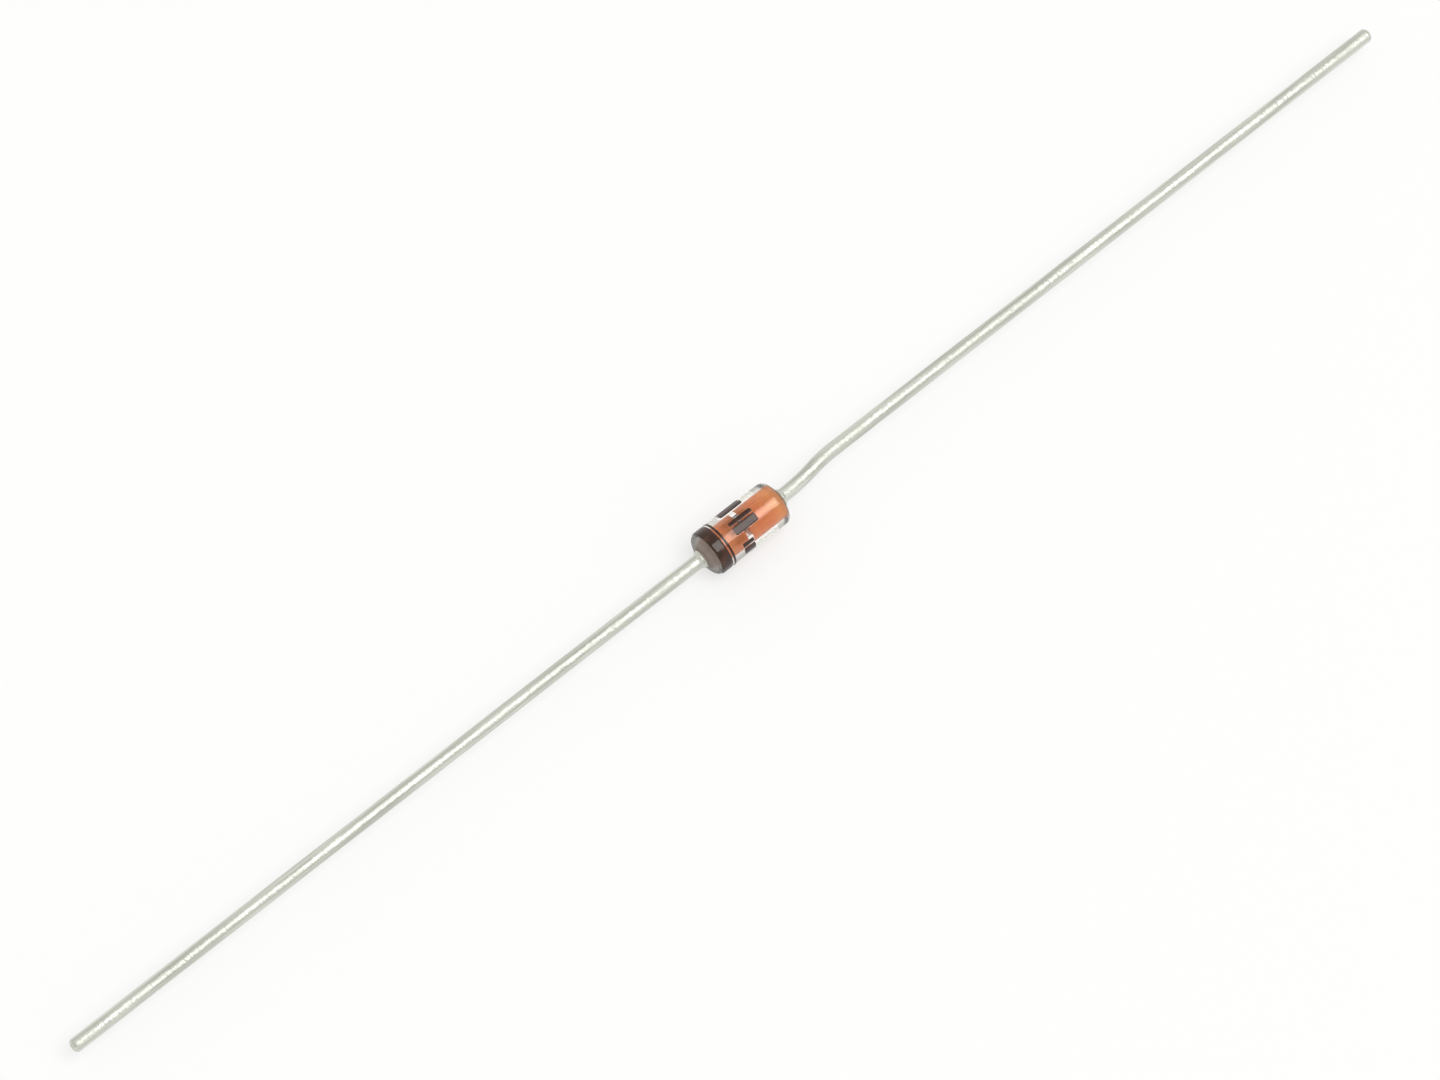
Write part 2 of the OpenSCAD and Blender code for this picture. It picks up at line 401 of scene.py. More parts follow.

# %% [markdown]
# ## Glass
# The sleeve is a soft lead glass, chosen because it shrinks as the stud does when it cools. It bends light
# strongly, and that is why the studs look half as thick again as they are. Where it is seen edge-on, light
# passes through more of it, and it shows a pale grey-green. A darker line at the outline is painted shade,
# which stands in for the dark surroundings seen at the edge of the glass. Layer Weight tells how far a
# surface is turned away, so it drives both tints. The tube was drawn, so low waves run along it, and its
# melted ends are rougher. The shader's own transmission does the rest.

# %% Glass, drawn and fire-polished
def polished_glass():
    """Clear glass, grey-green when seen edge-on, with a dark outline of painted shade, low lengthwise waves
    and rougher ends.
    """
    material, tree, place = start_material("lead_glass_fire_polished")
    wave_length, wave_width, wave_depth = 2.5 * MM, 0.3 * MM, 0.006 * MM
    cloud_size = 1.0 * MM
    polished_to, rough_from, end_roughness = 1.52 * MM, 1.68 * MM, 0.4
    clouds = add_node(tree, "ShaderNodeTexNoise", {"Vector": place, "Scale": 1 / cloud_size}).outputs[0]
    tint = add_node(tree, "ShaderNodeMix", {
        "Factor_Float": clouds, "A_Color": colour("#FDFFF9"), "B_Color": colour("#FFFDFC")},
        data_type="RGBA").outputs[MIXED_COLOUR]

    # Each tint has how far the glass is turned away where it begins and where it is full, and its shade
    edge_on = add_node(tree, "ShaderNodeLayerWeight", {"Blend": 0.5}).outputs["Facing"]
    flank = (0.4, 0.6, "#A2A69B")
    # The outline's dark tint is painted shade for the dark surroundings seen at the edge of the glass
    outline = (0.65, 0.85, "#7C8174")
    for begins, full, shade in (flank, outline):
        amount = add_node(tree, "ShaderNodeMapRange", {
            "Value": edge_on, "From Min": begins, "From Max": full}).outputs[0]
        tint = add_node(tree, "ShaderNodeMix", {
            "Factor_Float": amount, "A_Color": tint, "B_Color": colour(shade)},
            data_type="RGBA").outputs[MIXED_COLOUR]

    x = add_node(tree, "ShaderNodeSeparateXYZ", {"Vector": place}).outputs["X"]
    out = add_node(tree, "ShaderNodeMath", {"Value": x}, operation="ABSOLUTE").outputs[0]
    rough = add_node(tree, "ShaderNodeMapRange", {
        "Value": out, "From Min": polished_to, "From Max": rough_from,
        "To Min": 0.0, "To Max": end_roughness}).outputs[0]
    along = add_node(tree, "ShaderNodeMapping", {
        "Vector": place, "Scale": (1 / wave_length, 1 / wave_width, 1 / wave_width)}).outputs[0]
    waves = add_node(tree, "ShaderNodeTexNoise", {"Vector": along, "Scale": 1.0, "Detail": 1.0}).outputs[0]
    bump = add_node(tree, "ShaderNodeBump", {
        "Height": waves, "Strength": 0.5, "Distance": wave_depth}).outputs[0]
    shader = add_node(tree, "ShaderNodeBsdfPrincipled", {
        "Base Color": tint, "Roughness": rough, "IOR": 1.55, "Transmission Weight": 1.0, "Normal": bump})
    add_node(tree, "ShaderNodeOutputMaterial", {"Surface": shader.outputs["BSDF"]})
    return material


GLASS = polished_glass()
print("made", GLASS.name)

# %% [markdown]
# ## Turning on a lathe
# Most of the diode is round about one axis, so most pieces can be turned: an outline of points along the
# axis is spun round it. Blender's Screw modifier does that too, but plain bmesh code can close an end in a
# single point and keep a hard edge where the outline turns sharply. An outline that touches the axis makes
# a solid, and one that doesn't is joined end to end, which makes the wall of a tube.

# %% The lathe
HARD_EDGE = math.radians(40)


def finish_mesh(bm, name):
    """Turns the faces outwards, shades them smooth between hard edges, and makes the mesh."""
    bmesh.ops.recalc_face_normals(bm, faces=bm.faces)
    for face in bm.faces:
        face.smooth = True
    for edge in bm.edges:
        edge.smooth = edge.calc_face_angle(0) < HARD_EDGE
    mesh = bpy.data.meshes.new(name)
    bm.to_mesh(mesh)
    bm.free()
    return mesh


def turn(name, outline, sides=128):
    """Mesh turned round the diode's axis from an outline of (x, radius) points."""
    bm = bmesh.new()
    angles = [math.tau * i / sides for i in range(sides)]
    rings = []
    for x, r in outline:
        points = [(x, r * math.cos(a), AXIS_Z + r * math.sin(a)) for a in angles] if r else [(x, 0, AXIS_Z)]
        rings.append([bm.verts.new(p) for p in points])
    tube = outline[0][1] and outline[-1][1]
    for ring, following in zip(rings, rings[1:] + rings[:1] if tube else rings[1:]):
        for i in range(sides):
            j = (i + 1) % sides
            corners = [ring[i % len(ring)], ring[j % len(ring)], following[j % len(following)],
                       following[i % len(following)]]
            # On the axis two corners are the same vertex, which is kept once
            bm.faces.new(dict.fromkeys(corners))
    return finish_mesh(bm, name)


print("edges over", round(math.degrees(HARD_EDGE)), "degrees stay hard")

# %% [markdown]
# ## Arcs and finished pieces
# The round stretches of an outline are arcs, worked out from a centre and two angles. A finished mesh then
# becomes a piece of the diode: it hides the CAD node that it stands for and rides on the only body there is.

# %% Draw an arc and hand a piece over
def arc(centre, radius, start, end, steps=12):
    """Points of an arc between two angles, measured from the +X direction."""
    angles = [start + (end - start) * i / steps for i in range(steps + 1)]
    return [(centre[0] + radius * math.cos(a), centre[1] + radius * math.sin(a)) for a in angles]


def hand_over(mesh, name, node):
    """Makes a mesh the piece that stands for a CAD node, riding on the one body that there is."""
    piece = bpy.data.objects.new(name, mesh)
    bpy.context.collection.objects.link(piece)
    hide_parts(node)
    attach(piece, "root")
    print(name, "has", len(mesh.polygons), "faces")


# %% [markdown]
# ## Glass sleeve
# Surface tension rounds the ends of the molten tube, so each end is a shallow dome that runs through a soft
# shoulder into the side. The outline is built from those two arcs, as the CAD section is, and mirrored for
# the other end. The bore is a hair smaller than the studs: the glass is fused to them, and a thin film of
# air between the two would show as a mirror.

# %% Turn the glass
DOME_R, SHOULDER_R = 1.6 * MM, 0.28 * MM
FUSED = 0.003 * MM

dome_x = MOUTH - math.sqrt(DOME_R ** 2 - STUD_R ** 2)
shoulder_ring = GLASS_R - SHOULDER_R
shoulder_x = dome_x + math.sqrt((DOME_R - SHOULDER_R) ** 2 - shoulder_ring ** 2)
lean = math.atan2(shoulder_ring, shoulder_x - dome_x)
bore_r = STUD_R - FUSED

glass_end = arc((dome_x, 0), DOME_R, math.asin(bore_r / DOME_R), lean, steps=20)
glass_end += arc((shoulder_x, shoulder_ring), SHOULDER_R, lean, math.pi / 2, steps=24)[1:]
other_end = [(-x, r) for x, r in reversed(glass_end)]
glass_mesh = turn("clear_glass_sleeve", glass_end + other_end, sides=160)
glass_mesh.materials.append(GLASS)
hand_over(glass_mesh, "clear_glass_sleeve", "glass_sleeve")

# %% [markdown]
# ## Studs
# Each stud is a short slug of copper-clad wire, and its edges are slightly rounded from cutting and
# tumbling. One outline serves both, mirrored for the banded end. It stands out of the glass by a few
# hundredths of a millimetre, which is where the lead is welded on.

# %% Turn the studs
STUD_EDGE = 0.02 * MM

stud_outline = [(STUD_INNER, 0.0)]
stud_outline += arc((STUD_INNER + STUD_EDGE, STUD_R - STUD_EDGE), STUD_EDGE, math.pi, math.pi / 2, steps=5)
stud_outline += [(MOUTH, STUD_R)]
stud_outline += arc((STUD_END - STUD_EDGE, STUD_R - STUD_EDGE), STUD_EDGE, math.pi / 2, 0, steps=5)
stud_outline += [(STUD_END, 0.0)]
for name, node, side in (("banded_end_stud", "cathode_stud", -1), ("plain_end_stud", "anode_stud", 1)):
    stud_mesh = turn(name, [(side * x, r) for x, r in stud_outline])
    stud_mesh.materials.append(COPPER)
    hand_over(stud_mesh, name, node)

# %% [markdown]
# ## Chip and bump
# Between the studs sits the chip, a square of silicon with chipped, slightly rounded edges from the saw.
# The silver bump on it takes the pressure of the other stud, which has squeezed it into a low barrel. A
# bevelled box and a turned barrel give those two shapes directly.

# %% Saw the chip and plate the bump
CHIP_EDGE = 0.012 * MM

low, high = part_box("silicon_die")
bm = bmesh.new()
bmesh.ops.create_cube(bm, size=1.0)
for vert in bm.verts:
    vert.co = (low + high) / 2 + vert.co * (high - low)
bmesh.ops.bevel(bm, geom=bm.edges, offset=CHIP_EDGE, segments=3, affect="EDGES", profile=0.6)
chip_mesh = finish_mesh(bm, "silicon_chip")
chip_mesh.materials.append(SILICON)
hand_over(chip_mesh, "silicon_chip", "silicon_die")

low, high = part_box("contact_bump")
bump_r = reach("contact_bump")
bulge = (high.x - low.x) / 2
barrel = arc(((low.x + high.x) / 2, bump_r - bulge), bulge, math.pi, 0, steps=12)
bump_mesh = turn("silver_contact_bump", [(low.x, 0.0)] + barrel + [(high.x, 0.0)], sides=64)
bump_mesh.materials.append(SILVER)
hand_over(bump_mesh, "silver_contact_bump", "contact_bump")

# %% [markdown]
# ## Geometry Nodes from code
# Two kinds of piece follow a rule that Geometry Nodes can hold: a wire that follows a path, and a print that
# follows the glass. Each tree starts with one geometry and its named sizes, and ends in plain geometry with
# one material. To run it, a mesh gets the tree as a modifier, its inputs are set by the sockets'
# identifiers, and the evaluated result is kept as a new mesh.

# %% Start, finish and run a tree
def start_tree(name, source, inputs, result):
    """Geometry Nodes tree with a geometry in and out, and the sockets of its named inputs."""
    tree = bpy.data.node_groups.new(name, "GeometryNodeTree")
    for socket, kind in ((source, "Geometry"), *inputs):
        tree.interface.new_socket(socket, in_out="INPUT", socket_type="NodeSocket" + kind)
    tree.interface.new_socket(result, in_out="OUTPUT", socket_type="NodeSocketGeometry")
    return tree, add_node(tree, "NodeGroupInput").outputs


def finish_tree(tree, geometry, material):
    """Ends a tree in plain geometry of one material."""
    geometry = add_node(tree, "GeometryNodeRealizeInstances", {"Geometry": geometry}).outputs[0]
    geometry = add_node(tree, "GeometryNodeSetMaterial", {
        "Geometry": geometry, "Material": material}).outputs[0]
    tree.links.new(geometry, add_node(tree, "NodeGroupOutput").inputs[0])
    print("tree", tree.name, "has", len(tree.nodes), "nodes")


def grow(mesh, tree, values):
    """Plain mesh that a Geometry Nodes tree makes from a mesh, with its inputs given by name."""
    source = bpy.data.objects.new(mesh.name, mesh)
    bpy.context.collection.objects.link(source)
    modifier = source.modifiers.new(tree.name, "NODES")
    modifier.node_group = tree
    inputs = [item for item in tree.interface.items_tree if item.in_out == "INPUT"]
    identifiers = {item.name: item.identifier for item in inputs}
    for name, value in values.items():
        modifier[identifiers[name]] = value
    grown = bpy.data.meshes.new_from_object(source.evaluated_get(bpy.context.evaluated_depsgraph_get()))
    source.modifiers.remove(modifier)
    bpy.data.objects.remove(source)
    return grown


# %% [markdown]
# ## A tree that sweeps a tinned wire
# A lead is a round section that follows a path: that is what Curve to Mesh does. The path comes in as a line
# of vertices, each with the radius that the wire has there, so the weld bead and the rounded tip are part of
# the same sweep. Then a noise moves the surface in and out by a few thousandths of a millimetre, as the
# frozen tin does.

# %% Build the wire tree
def wire_tree():
    """Geometry Nodes that sweep a round wire along a line of vertices and lay lumpy tin on it."""
    tree, given = start_tree("tinned_wire", "Path", (
        ("Sides", "Int"), ("Lump size", "Float"), ("Lump height", "Float"), ("Seed", "Float"),
        ("Material", "Material")), "Wire")
    path = add_node(tree, "GeometryNodeMeshToCurve", {"Mesh": given["Path"]}).outputs[0]
    radius = add_node(tree, "GeometryNodeInputNamedAttribute", {
        "Name": "wire_radius"}, data_type="FLOAT").outputs[0]
    section = add_node(tree, "GeometryNodeCurvePrimitiveCircle", {
        "Resolution": given["Sides"], "Radius": 1.0}).outputs[0]
    wire = add_node(tree, "GeometryNodeCurveToMesh", {
        "Curve": path, "Profile Curve": section, "Scale": radius, "Fill Caps": True}).outputs[0]
    wire = add_node(tree, "GeometryNodeSetShadeSmooth", {"Geometry": wire}).outputs[0]

    # The noise is moved to lie about zero, so that the tin swells as much as it sinks
    place = add_node(tree, "GeometryNodeInputPosition").outputs[0]
    per_lump = add_node(tree, "ShaderNodeMath", {
        "Value": 1.0, "Value_001": given["Lump size"]}, operation="DIVIDE").outputs[0]
    lumps = add_node(tree, "ShaderNodeTexNoise", {
        "Vector": place, "W": given["Seed"], "Scale": per_lump, "Detail": 1.0},
        noise_dimensions="4D").outputs[0]
    lumps = add_node(tree, "ShaderNodeMath", {
        "Value": lumps, "Value_001": 0.5}, operation="SUBTRACT").outputs[0]
    height = add_node(tree, "ShaderNodeMath", {
        "Value": lumps, "Value_001": given["Lump height"]}, operation="MULTIPLY").outputs[0]
    outwards = add_node(tree, "GeometryNodeInputNormal").outputs[0]
    offset = add_node(tree, "ShaderNodeVectorMath", {
        "Vector": outwards, "Scale": height}, operation="SCALE").outputs[0]
    wire = add_node(tree, "GeometryNodeSetPosition", {"Geometry": wire, "Offset": offset}).outputs[0]
    finish_tree(tree, wire, given["Material"])
    return tree


WIRE_TREE = wire_tree()

# %% [markdown]
# ## Leads
# Each lead starts as a bead of weld, which spreads slightly on its stud and runs out onto the wire in a
# fillet, and it ends in a tip that cutting and tinning have rounded. All of that is a wire whose radius
# changes, so it is laid out as rings: each has a distance from the stud and a radius. They are close
# together at the bead and the tip, where the outline is round, and wider apart along the wire.

# %% Lay out the rings of a lead
BEAD_LENGTH = 0.12 * MM
WELD_FLARE, FLARE_RINGS = 0.03 * MM, 6
FILLET_LENGTH, FILLET_RINGS = 0.12 * MM, 4
FILLET_ANGLE = 0.3  # where the fillet leaves the round rim of the bead, in radians
TIP_ROUND = 0.18 * MM
RING_SPACING = 0.16 * MM


def lead_rings(length):
    """Distance from the stud and wire radius at each ring of a lead."""
    half = BEAD_LENGTH / 2
    spread = [1 - i / FLARE_RINGS for i in range(FLARE_RINGS)]
    rings = [(half * (1 - s), BEAD_R + WELD_FLARE * s ** 3) for s in spread]
    rings += arc((half, BEAD_R - half), half, math.pi / 2, FILLET_ANGLE, steps=6)
    start, step_up = rings[-1][0], rings[-1][1] - WIRE_R
    run_out = [i / FILLET_RINGS for i in range(1, FILLET_RINGS + 1)]
    rings += [(start + FILLET_LENGTH * s, WIRE_R + step_up * (1 - s) ** 2) for s in run_out]
    start = rings[-1][0]
    run = length - TIP_ROUND - start
    steps = round(run / RING_SPACING)
    rings += [(start + run * i / steps, WIRE_R) for i in range(1, steps)]
    return rings + arc((length - TIP_ROUND, WIRE_R - TIP_ROUND), TIP_ROUND, math.pi / 2, 0, steps=8)


straight_length = TIP - STUD_END
print("the straight lead has", len(lead_rings(straight_length)), "rings")

# %% [markdown]
# ## The path of each lead
# The cathode lead runs straight to its tip. The anode lead swings aside in a wide bend next to the glass and
# a tighter one that turns it straight again, as a wire does when it is caught in handling. A path is a
# function from the distance along the wire to a point. A Bezier curve could follow the bends too, but arcs
# keep exactly to the CAD model.

# %% Follow the path of each lead
NEAR_BEND_R, FAR_BEND_R = 10 * MM, 5 * MM
set_off = LEADS["anode_lead"]["pos_m"][1]
turned = math.acos(1 - set_off / (NEAR_BEND_R + FAR_BEND_R))
bend_start = STUD_END + BEAD_LENGTH
bend_end = bend_start + (NEAR_BEND_R + FAR_BEND_R) * math.sin(turned)
near_length, far_length = NEAR_BEND_R * turned, FAR_BEND_R * turned


def straight_path(s):
    """Point of the cathode lead at a distance from its stud."""
    return (-STUD_END - s, 0, AXIS_Z)


def set_off_path(s):
    """Point of the anode lead at a distance from its stud."""
    s -= BEAD_LENGTH
    if s < 0:
        return (bend_start + s, 0, AXIS_Z)
    if s < near_length:
        a = s / NEAR_BEND_R
        return (bend_start + NEAR_BEND_R * math.sin(a), NEAR_BEND_R * (1 - math.cos(a)), AXIS_Z)
    s -= near_length + far_length
    if s < 0:
        a = -s / FAR_BEND_R
        return (bend_end - FAR_BEND_R * math.sin(a), set_off - FAR_BEND_R * (1 - math.cos(a)), AXIS_Z)
    return (bend_end + s, set_off, AXIS_Z)


set_off_length = BEAD_LENGTH + near_length + far_length + TIP - bend_end
print("leads in mm:", in_mm((straight_length, set_off_length)))

# %% [markdown]
# ## Sweeping the leads
# Each lead is now a line of vertices, handed to the wire tree. The radius of each ring goes along as a named
# attribute, which is how Geometry Nodes take a value that changes from point to point. Each lead has a seed
# of its own, so that the lumps in the tin of the two are not the same.

# %% Sweep the leads
WIRE_SIDES = 56
LUMP_SIZE, LUMP_HEIGHT = 0.45 * MM, 0.009 * MM


def sweep_lead(name, node, path, length, seed):
    """Lead that follows a path from its stud to its tip."""
    rings = lead_rings(length)
    line = bpy.data.meshes.new(name + "_path")
    line.from_pydata([path(s) for s, _ in rings], [(i, i + 1) for i in range(len(rings) - 1)], [])
    line.attributes.new("wire_radius", "FLOAT", "POINT").data.foreach_set("value", [r for _, r in rings])
    mesh = grow(line, WIRE_TREE, {
        "Sides": WIRE_SIDES, "Lump size": LUMP_SIZE, "Lump height": LUMP_HEIGHT, "Seed": seed,
        "Material": TIN})
    hand_over(mesh, name, node)


sweep_lead("straight_tinned_lead", "cathode_lead", straight_path, straight_length, seed=3.0)
sweep_lead("set_off_tinned_lead", "anode_lead", set_off_path, set_off_length, seed=8.0)

# %% [markdown]
# ## Ink that follows the glass
# The band of ink lies on the side of the glass and laps onto the shoulder, so a place along the glass has to
# become a point on that outline. A Shrinkwrap modifier could press a ring onto the glass, but the outline is
# a line and an arc that are already known, so the point is simply worked out.

# %% Follow the glass
def on_glass(x, height):
    """Point (x, radius) at a height above the side or the shoulder of the glass."""
    past = abs(x) - shoulder_x
    if past <= 0:
        return x, GLASS_R + height
    lean_here = math.asin(past / SHOULDER_R)
    out = SHOULDER_R + height
    round_x = shoulder_x + out * math.sin(lean_here)
    return math.copysign(round_x, x), shoulder_ring + out * math.cos(lean_here)


print("the shoulder starts", *in_mm([shoulder_x]), "mm from the middle of the glass")

# %% [markdown]
# ## Cathode band
# The band is ink that a wheel rolled round the banded end, with a thin line beside it. Its edges are never
# quite straight, so each edge wanders by a hundredth of a millimetre or so, along a noise that is read on a
# circle and therefore meets itself after one turn. The coat thins out at its edges, and its inner face is
# sunk a hair into the glass, because wet ink leaves no air under it.

# %% Roll the band
BAND_WIDTH, BAND_LINE = 0.47 * MM, 0.09 * MM
BAND_SIDES, BAND_STEPS = 192, 16
BAND_WANDER = 0.012 * MM
WANDER_SIZE = 0.35  # on a circle with a radius of one
LAST_EDGE = 10  # how far the noise of a ring's last edge is from that of its first
COAT_FLATNESS = 8  # a higher power keeps the coat full until nearer its edges


def roll_ring(bm, start, end, seed):
    """Adds a closed ring of ink between two places along the glass, with wandering edges."""
    columns = []
    for i in range(BAND_SIDES):
        a = math.tau * i / BAND_SIDES
        round_trip = Vector((math.cos(a), math.sin(a), 0)) / WANDER_SIZE
        first = start + BAND_WANDER * noise.noise(round_trip + Vector((0, 0, seed)))
        last = end + BAND_WANDER * noise.noise(round_trip + Vector((0, 0, seed + LAST_EDGE)))
        section = []
        for k in range(BAND_STEPS + 1):
            across = k / BAND_STEPS
            coat = INK_THICKNESS * (1 - abs(2 * across - 1) ** COAT_FLATNESS)
            section.append(on_glass(first + (last - first) * across, coat))
        section += [on_glass(x, -FUSED) for x in (last, first)]
        columns.append([bm.verts.new((x, r * math.cos(a), AXIS_Z + r * math.sin(a))) for x, r in section])
    for column, following in zip(columns, columns[1:] + columns[:1]):
        for k in range(len(column)):
            n = (k + 1) % len(column)
            bm.faces.new((column[k], column[n], following[n], following[k]))


band_start, line_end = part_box("cathode_band")[0].x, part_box("cathode_band")[1].x
bm = bmesh.new()
roll_ring(bm, band_start, band_start + BAND_WIDTH, seed=1.0)
roll_ring(bm, line_end - BAND_LINE, line_end, seed=2.0)
band_mesh = finish_mesh(bm, "cathode_ink_band")
band_mesh.materials.append(INK)
hand_over(band_mesh, "cathode_ink_band", "cathode_band")

# %% [markdown]
# ## A patch of ink
# The mark is rows of ink patches. Surface tension rounds the corners of wet ink and thins its coat towards
# the edges. A bevelled box would do, but in Geometry Nodes a formula on a flat slab is shorter: a high power
# of X or Y is next to nothing in the middle of the slab and rises to one at its edge.

# %% Shape a patch
PATCH_GRID = 17  # vertices along each side of a patch
EDGE_POWER = 10.0  # a higher power keeps the rounding closer to the edges
EDGE_CHANGE = (-0.07, -0.07, -0.4)  # change of length, width and thickness at the edges, as a share


def ink_patch(tree):
    """Flat patch of unit size, with corners that pull in and a coat that thins towards the edges."""
    slab = add_node(tree, "GeometryNodeMeshCube", {
        "Size": (1.0, 1.0, 1.0), "Vertices X": PATCH_GRID, "Vertices Y": PATCH_GRID,
        "Vertices Z": 2}).outputs[0]
    place = add_node(tree, "GeometryNodeInputPosition").outputs[0]
    far = add_node(tree, "ShaderNodeVectorMath", {
        "Vector": place, "Vector_001": (2.0, 2.0, 2.0)}, operation="MULTIPLY").outputs[0]
    far = add_node(tree, "ShaderNodeVectorMath", {"Vector": far}, operation="ABSOLUTE").outputs[0]
    far = add_node(tree, "ShaderNodeVectorMath", {
        "Vector": far, "Vector_001": (EDGE_POWER,) * 3}, operation="POWER").outputs[0]
    far = add_node(tree, "ShaderNodeSeparateXYZ", {"Vector": far}).outputs
    farthest = add_node(tree, "ShaderNodeMath", {
        "Value": far["X"], "Value_001": far["Y"]}, operation="MAXIMUM").outputs[0]

    # The length shrinks at the far ends of the width, and the width at those of the length
    change = add_node(tree, "ShaderNodeCombineXYZ", {"X": far["Y"], "Y": far["X"], "Z": farthest}).outputs[0]
    change = add_node(tree, "ShaderNodeVectorMath", {
        "Vector": change, "Vector_001": EDGE_CHANGE, "Vector_002": (1.0, 1.0, 1.0)},
        operation="MULTIPLY_ADD").outputs[0]
    raised = add_node(tree, "ShaderNodeVectorMath", {
        "Vector": place, "Vector_001": (0.0, 0.0, 0.5)}, operation="ADD").outputs[0]
    shaped = add_node(tree, "ShaderNodeVectorMath", {
        "Vector": raised, "Vector_001": change}, operation="MULTIPLY").outputs[0]
    return add_node(tree, "GeometryNodeSetPosition", {"Geometry": slab, "Position": shaped}).outputs[0]


# %% [markdown]
# ## Ragged edges
# A print on glass has no clean outline. All patches lie on one flat sheet first, where a noise can move
# every point sideways by a little. It reads only X and Y, so that the top and the bottom of a patch move
# together.

# %% Make a sheet ragged
def ragged_sheet(tree, sheet, given):
    """Sheet whose points have moved sideways with a noise."""
    level = (1.0, 1.0, 0.0)
    flat = add_node(tree, "ShaderNodeVectorMath", {
        "Vector": add_node(tree, "GeometryNodeInputPosition").outputs[0], "Vector_001": level},
        operation="MULTIPLY").outputs[0]
    per_wander = add_node(tree, "ShaderNodeMath", {
        "Value": 1.0, "Value_001": given["Ragged size"]}, operation="DIVIDE").outputs[0]
    wander = add_node(tree, "ShaderNodeTexNoise", {
        "Vector": flat, "W": given["Seed"], "Scale": per_wander, "Detail": 2.0},
        noise_dimensions="4D").outputs["Color"]
    wander = add_node(tree, "ShaderNodeVectorMath", {
        "Vector": wander, "Vector_001": (0.5, 0.5, 0.5)}, operation="SUBTRACT").outputs[0]
    wander = add_node(tree, "ShaderNodeVectorMath", {
        "Vector": wander, "Vector_001": level}, operation="MULTIPLY").outputs[0]
    wander = add_node(tree, "ShaderNodeVectorMath", {
        "Vector": wander, "Scale": given["Ragged by"]}, operation="SCALE").outputs[0]
    return add_node(tree, "GeometryNodeSetPosition", {"Geometry": sheet, "Offset": wander}).outputs[0]


# %% [markdown]
# ## Rolling the sheet
# A printing wheel lays its ink round the glass, and the sheet is rolled the same way: the distance along Y
# becomes an angle, and Z a height above the glass. A Curve modifier could bend the sheet, but a sine and a
# cosine put it exactly on the glass.

# %% Roll a sheet round the glass
def rolled_sheet(tree, sheet, given):
    """Sheet with Y turned to an angle from the top of the glass, and Z to a height above its sunk face."""
    flat = add_node(tree, "ShaderNodeSeparateXYZ", {
        "Vector": add_node(tree, "GeometryNodeInputPosition").outputs[0]}).outputs
    angle = add_node(tree, "ShaderNodeMath", {
        "Value": flat["Y"], "Value_001": given["Glass radius"]}, operation="DIVIDE").outputs[0]
    coat = add_node(tree, "ShaderNodeMath", {
        "Value": given["Ink thickness"], "Value_001": given["Sunk"]}, operation="ADD").outputs[0]
    base = add_node(tree, "ShaderNodeMath", {
        "Value": given["Glass radius"], "Value_001": given["Sunk"]}, operation="SUBTRACT").outputs[0]
    radius = add_node(tree, "ShaderNodeMath", {
        "Value": flat["Z"], "Value_001": coat, "Value_002": base}, operation="MULTIPLY_ADD").outputs[0]
    sine = add_node(tree, "ShaderNodeMath", {"Value": angle}, operation="SINE").outputs[0]
    cosine = add_node(tree, "ShaderNodeMath", {"Value": angle}, operation="COSINE").outputs[0]
    y = add_node(tree, "ShaderNodeMath", {
        "Value": radius, "Value_001": sine}, operation="MULTIPLY").outputs[0]
    z = add_node(tree, "ShaderNodeMath", {
        "Value": radius, "Value_001": cosine, "Value_002": given["Axis height"]},
        operation="MULTIPLY_ADD").outputs[0]
    rolled = add_node(tree, "ShaderNodeCombineXYZ", {"X": flat["X"], "Y": y, "Z": z}).outputs[0]
    return add_node(tree, "GeometryNodeSetPosition", {"Geometry": sheet, "Position": rolled}).outputs[0]


# %% [markdown]
# ## A tree that prints on the glass
# The tree lays a patch at every point that comes in, as long and as wide as the point says, makes the sheet
# ragged and rolls it. The edges that turn sharply stay hard, as they do on the turned pieces, so that the
# thin rim of the ink is not shaded as if it were round.

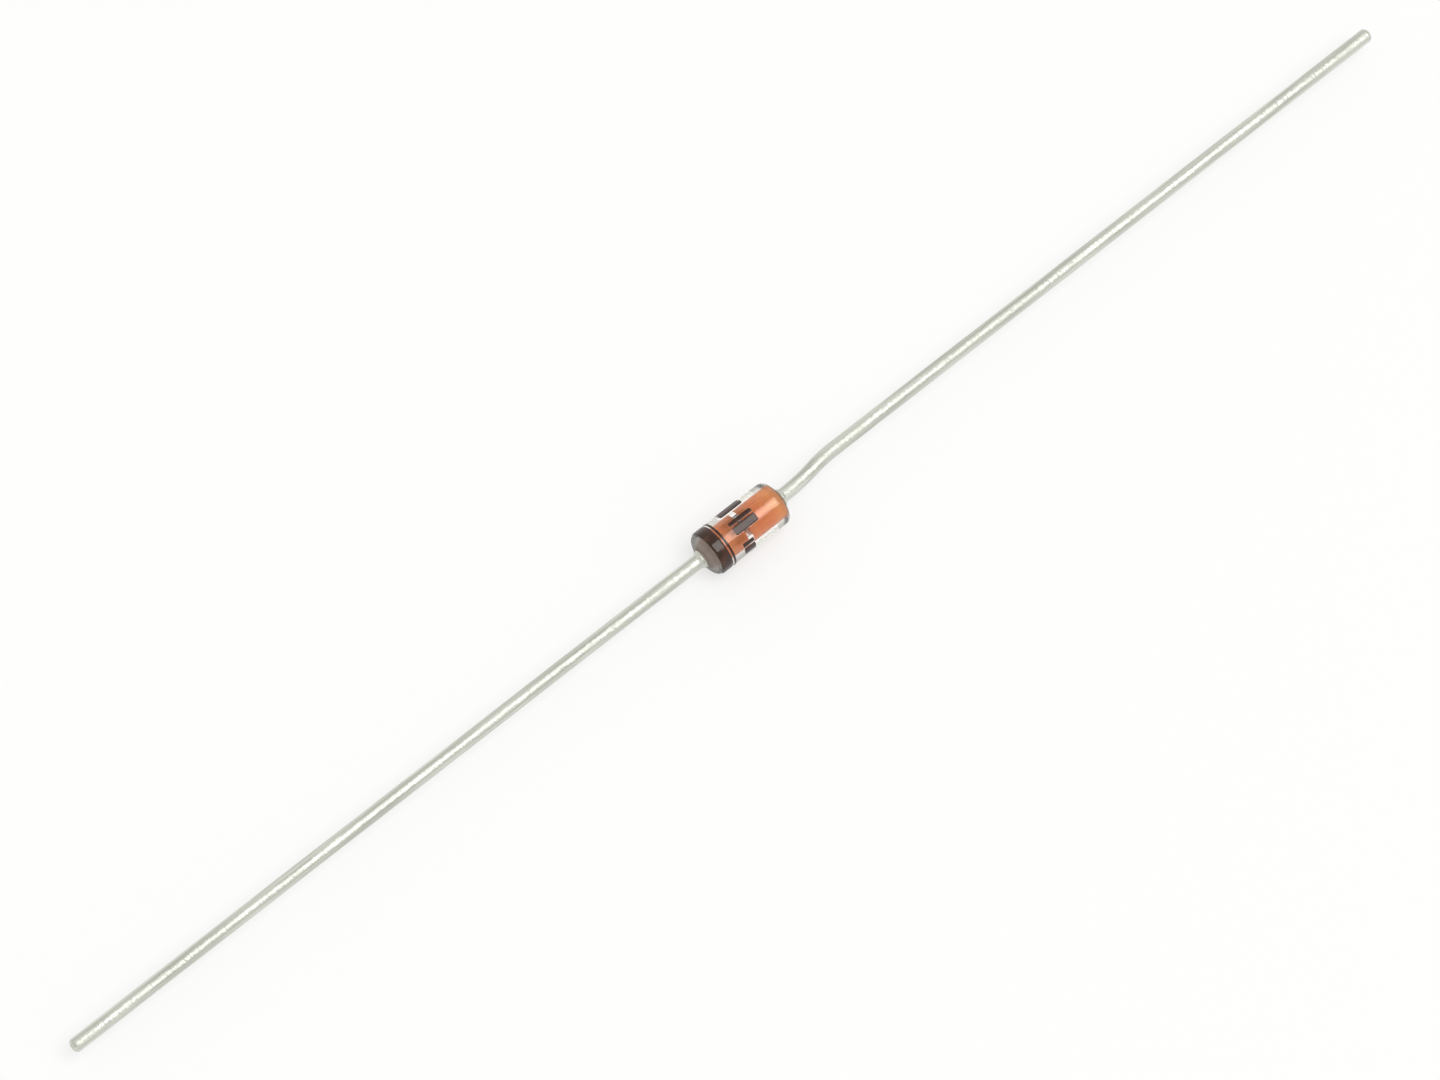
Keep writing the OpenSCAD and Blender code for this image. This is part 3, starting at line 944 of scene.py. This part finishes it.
# %% Build the print tree
def print_tree():
    """Geometry Nodes that make a patch of ink at each point of a flat sheet and roll it round the glass."""
    tree, given = start_tree("printed_ink", "Points", (
        ("Glass radius", "Float"), ("Axis height", "Float"), ("Ink thickness", "Float"), ("Sunk", "Float"),
        ("Ragged by", "Float"), ("Ragged size", "Float"), ("Seed", "Float"),
        ("Material", "Material")), "Mark")
    size = add_node(tree, "GeometryNodeInputNamedAttribute", {
        "Name": "patch_size"}, data_type="FLOAT_VECTOR").outputs[0]
    sheet = add_node(tree, "GeometryNodeInstanceOnPoints", {
        "Points": given["Points"], "Instance": ink_patch(tree), "Scale": size}).outputs[0]
    sheet = add_node(tree, "GeometryNodeRealizeInstances", {"Geometry": sheet}).outputs[0]
    mark = rolled_sheet(tree, ragged_sheet(tree, sheet, given), given)
    mark = add_node(tree, "GeometryNodeSetShadeSmooth", {"Geometry": mark}).outputs[0]
    turn_at_edge = add_node(tree, "GeometryNodeInputMeshEdgeAngle").outputs[0]
    hard = add_node(tree, "ShaderNodeMath", {
        "Value": turn_at_edge, "Value_001": HARD_EDGE}, operation="GREATER_THAN").outputs[0]
    mark = add_node(tree, "GeometryNodeSetShadeSmooth", {
        "Geometry": mark, "Selection": hard, "Shade Smooth": False}, domain="EDGE").outputs[0]
    finish_tree(tree, mark, given["Material"])
    return tree


PRINT_TREE = print_tree()

# %% [markdown]
# ## Printed mark
# The mark on the glass is kept generic: each row is a narrow bar with a broad one below it. The rows lie
# side by side over the upper half of the glass, so that some of the mark shows from above and from both
# sides. Each patch is one point on the flat sheet, with X along the glass and Y the way round it, up over
# the top towards the back.

# %% Print the mark
MARK_ROWS = (1.04 * MM, 1.04 * MM, 0.5 * MM)
MARK_TURN, MARK_PITCH = math.radians(82), math.radians(62)
NARROW_BAR, BROAD_BAR, MARK_GAP = 0.17 * MM, 0.34 * MM, 0.06 * MM
RAGGED_BY, RAGGED_SIZE = 0.035 * MM, 0.09 * MM
MARK_SEED = 5.0
mark_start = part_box("type_mark")[0].x

patches = []
for row, length in enumerate(MARK_ROWS):
    edge = GLASS_R * (math.pi / 2 - MARK_TURN - (row - 1) * MARK_PITCH)
    middle = mark_start + length / 2
    patches.append((middle, edge - NARROW_BAR / 2, length, NARROW_BAR))
    patches.append((middle, edge - NARROW_BAR - MARK_GAP - BROAD_BAR / 2, length, BROAD_BAR))

points = bpy.data.meshes.new("mark_points")
points.from_pydata([(x, y, 0) for x, y, _, _ in patches], [], [])
sizes = [c for _, _, length, width in patches for c in (length, width, 1.0)]
points.attributes.new("patch_size", "FLOAT_VECTOR", "POINT").data.foreach_set("vector", sizes)
mark_mesh = grow(points, PRINT_TREE, {
    "Glass radius": GLASS_R, "Axis height": AXIS_Z, "Ink thickness": INK_THICKNESS, "Sunk": FUSED,
    "Ragged by": RAGGED_BY, "Ragged size": RAGGED_SIZE, "Seed": MARK_SEED, "Material": INK})
hand_over(mark_mesh, "printed_ink_mark", "type_mark")
print(len(patches), "patches of ink")
